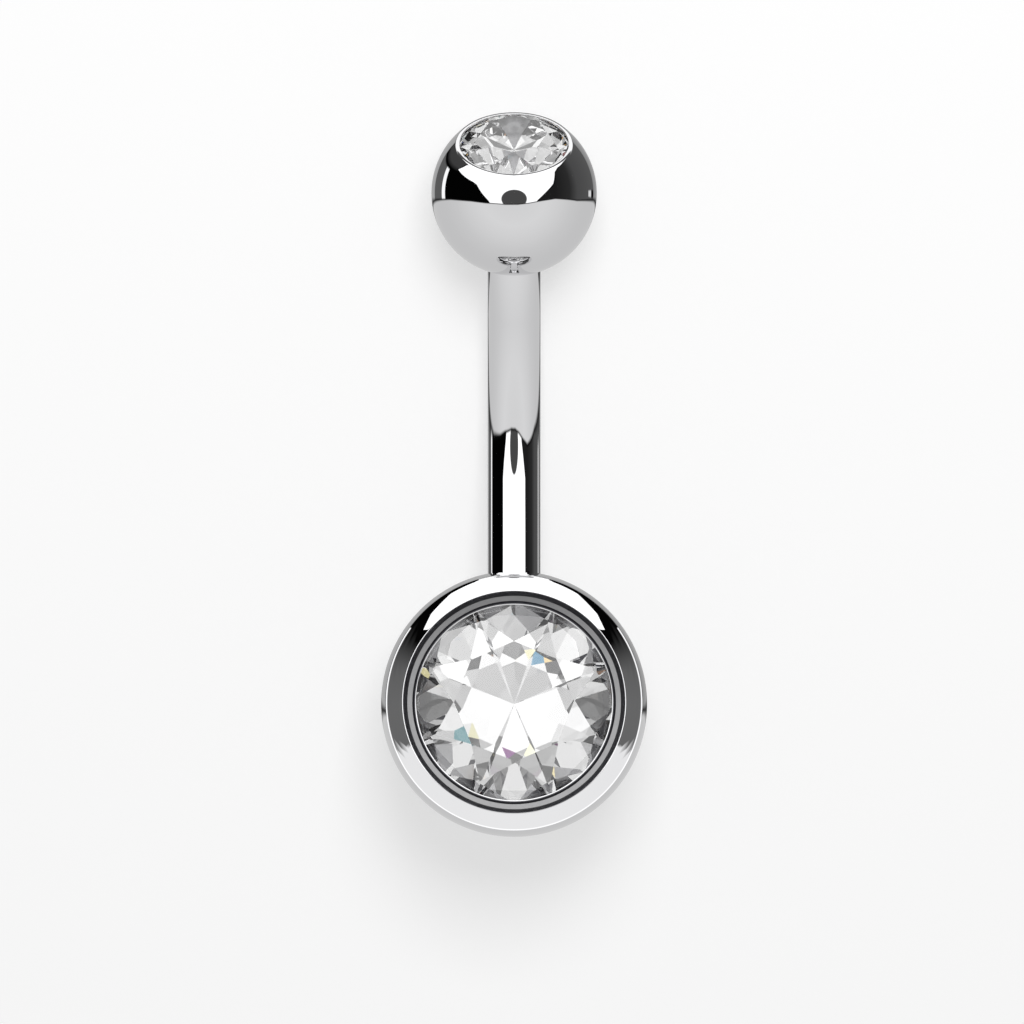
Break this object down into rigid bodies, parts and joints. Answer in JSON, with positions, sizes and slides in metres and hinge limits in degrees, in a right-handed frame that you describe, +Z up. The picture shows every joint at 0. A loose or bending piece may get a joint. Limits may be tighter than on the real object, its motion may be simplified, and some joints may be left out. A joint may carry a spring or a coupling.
{
  "type": "navel ring",
  "caption": "Bent piercing bar with a stone-set ball fixed at one end and a smaller stone-set ball that screws off the other.",
  "frame": {"origin": "on the surface that the ring lies on, under the middle of its bounding box", "axes": "+Y from the fixed lower setting to the screw ball, +Z up, the side that the stones face, +X across the bar"},
  "size_m": [0.008, 0.0222, 0.0065],
  "materials": {
    "polished_titanium": "mirror polished titanium",
    "clear_stone": "clear cubic zirconia, round brilliant cut"
  },
  "bodies": {
    "ring": {"bar_and_setting": "polished_titanium", "lower_stone": "clear_stone"},
    "screw_ball": {"top_ball": "polished_titanium", "top_stone": "clear_stone"}
  },
  "joints": [
    {"name": "ball_unscrew", "type": "slide", "parent": "ring", "child": "screw_ball", "axis": [0, 0.9609, 0.2767], "range_m": [0, 0.003]}
  ]
}
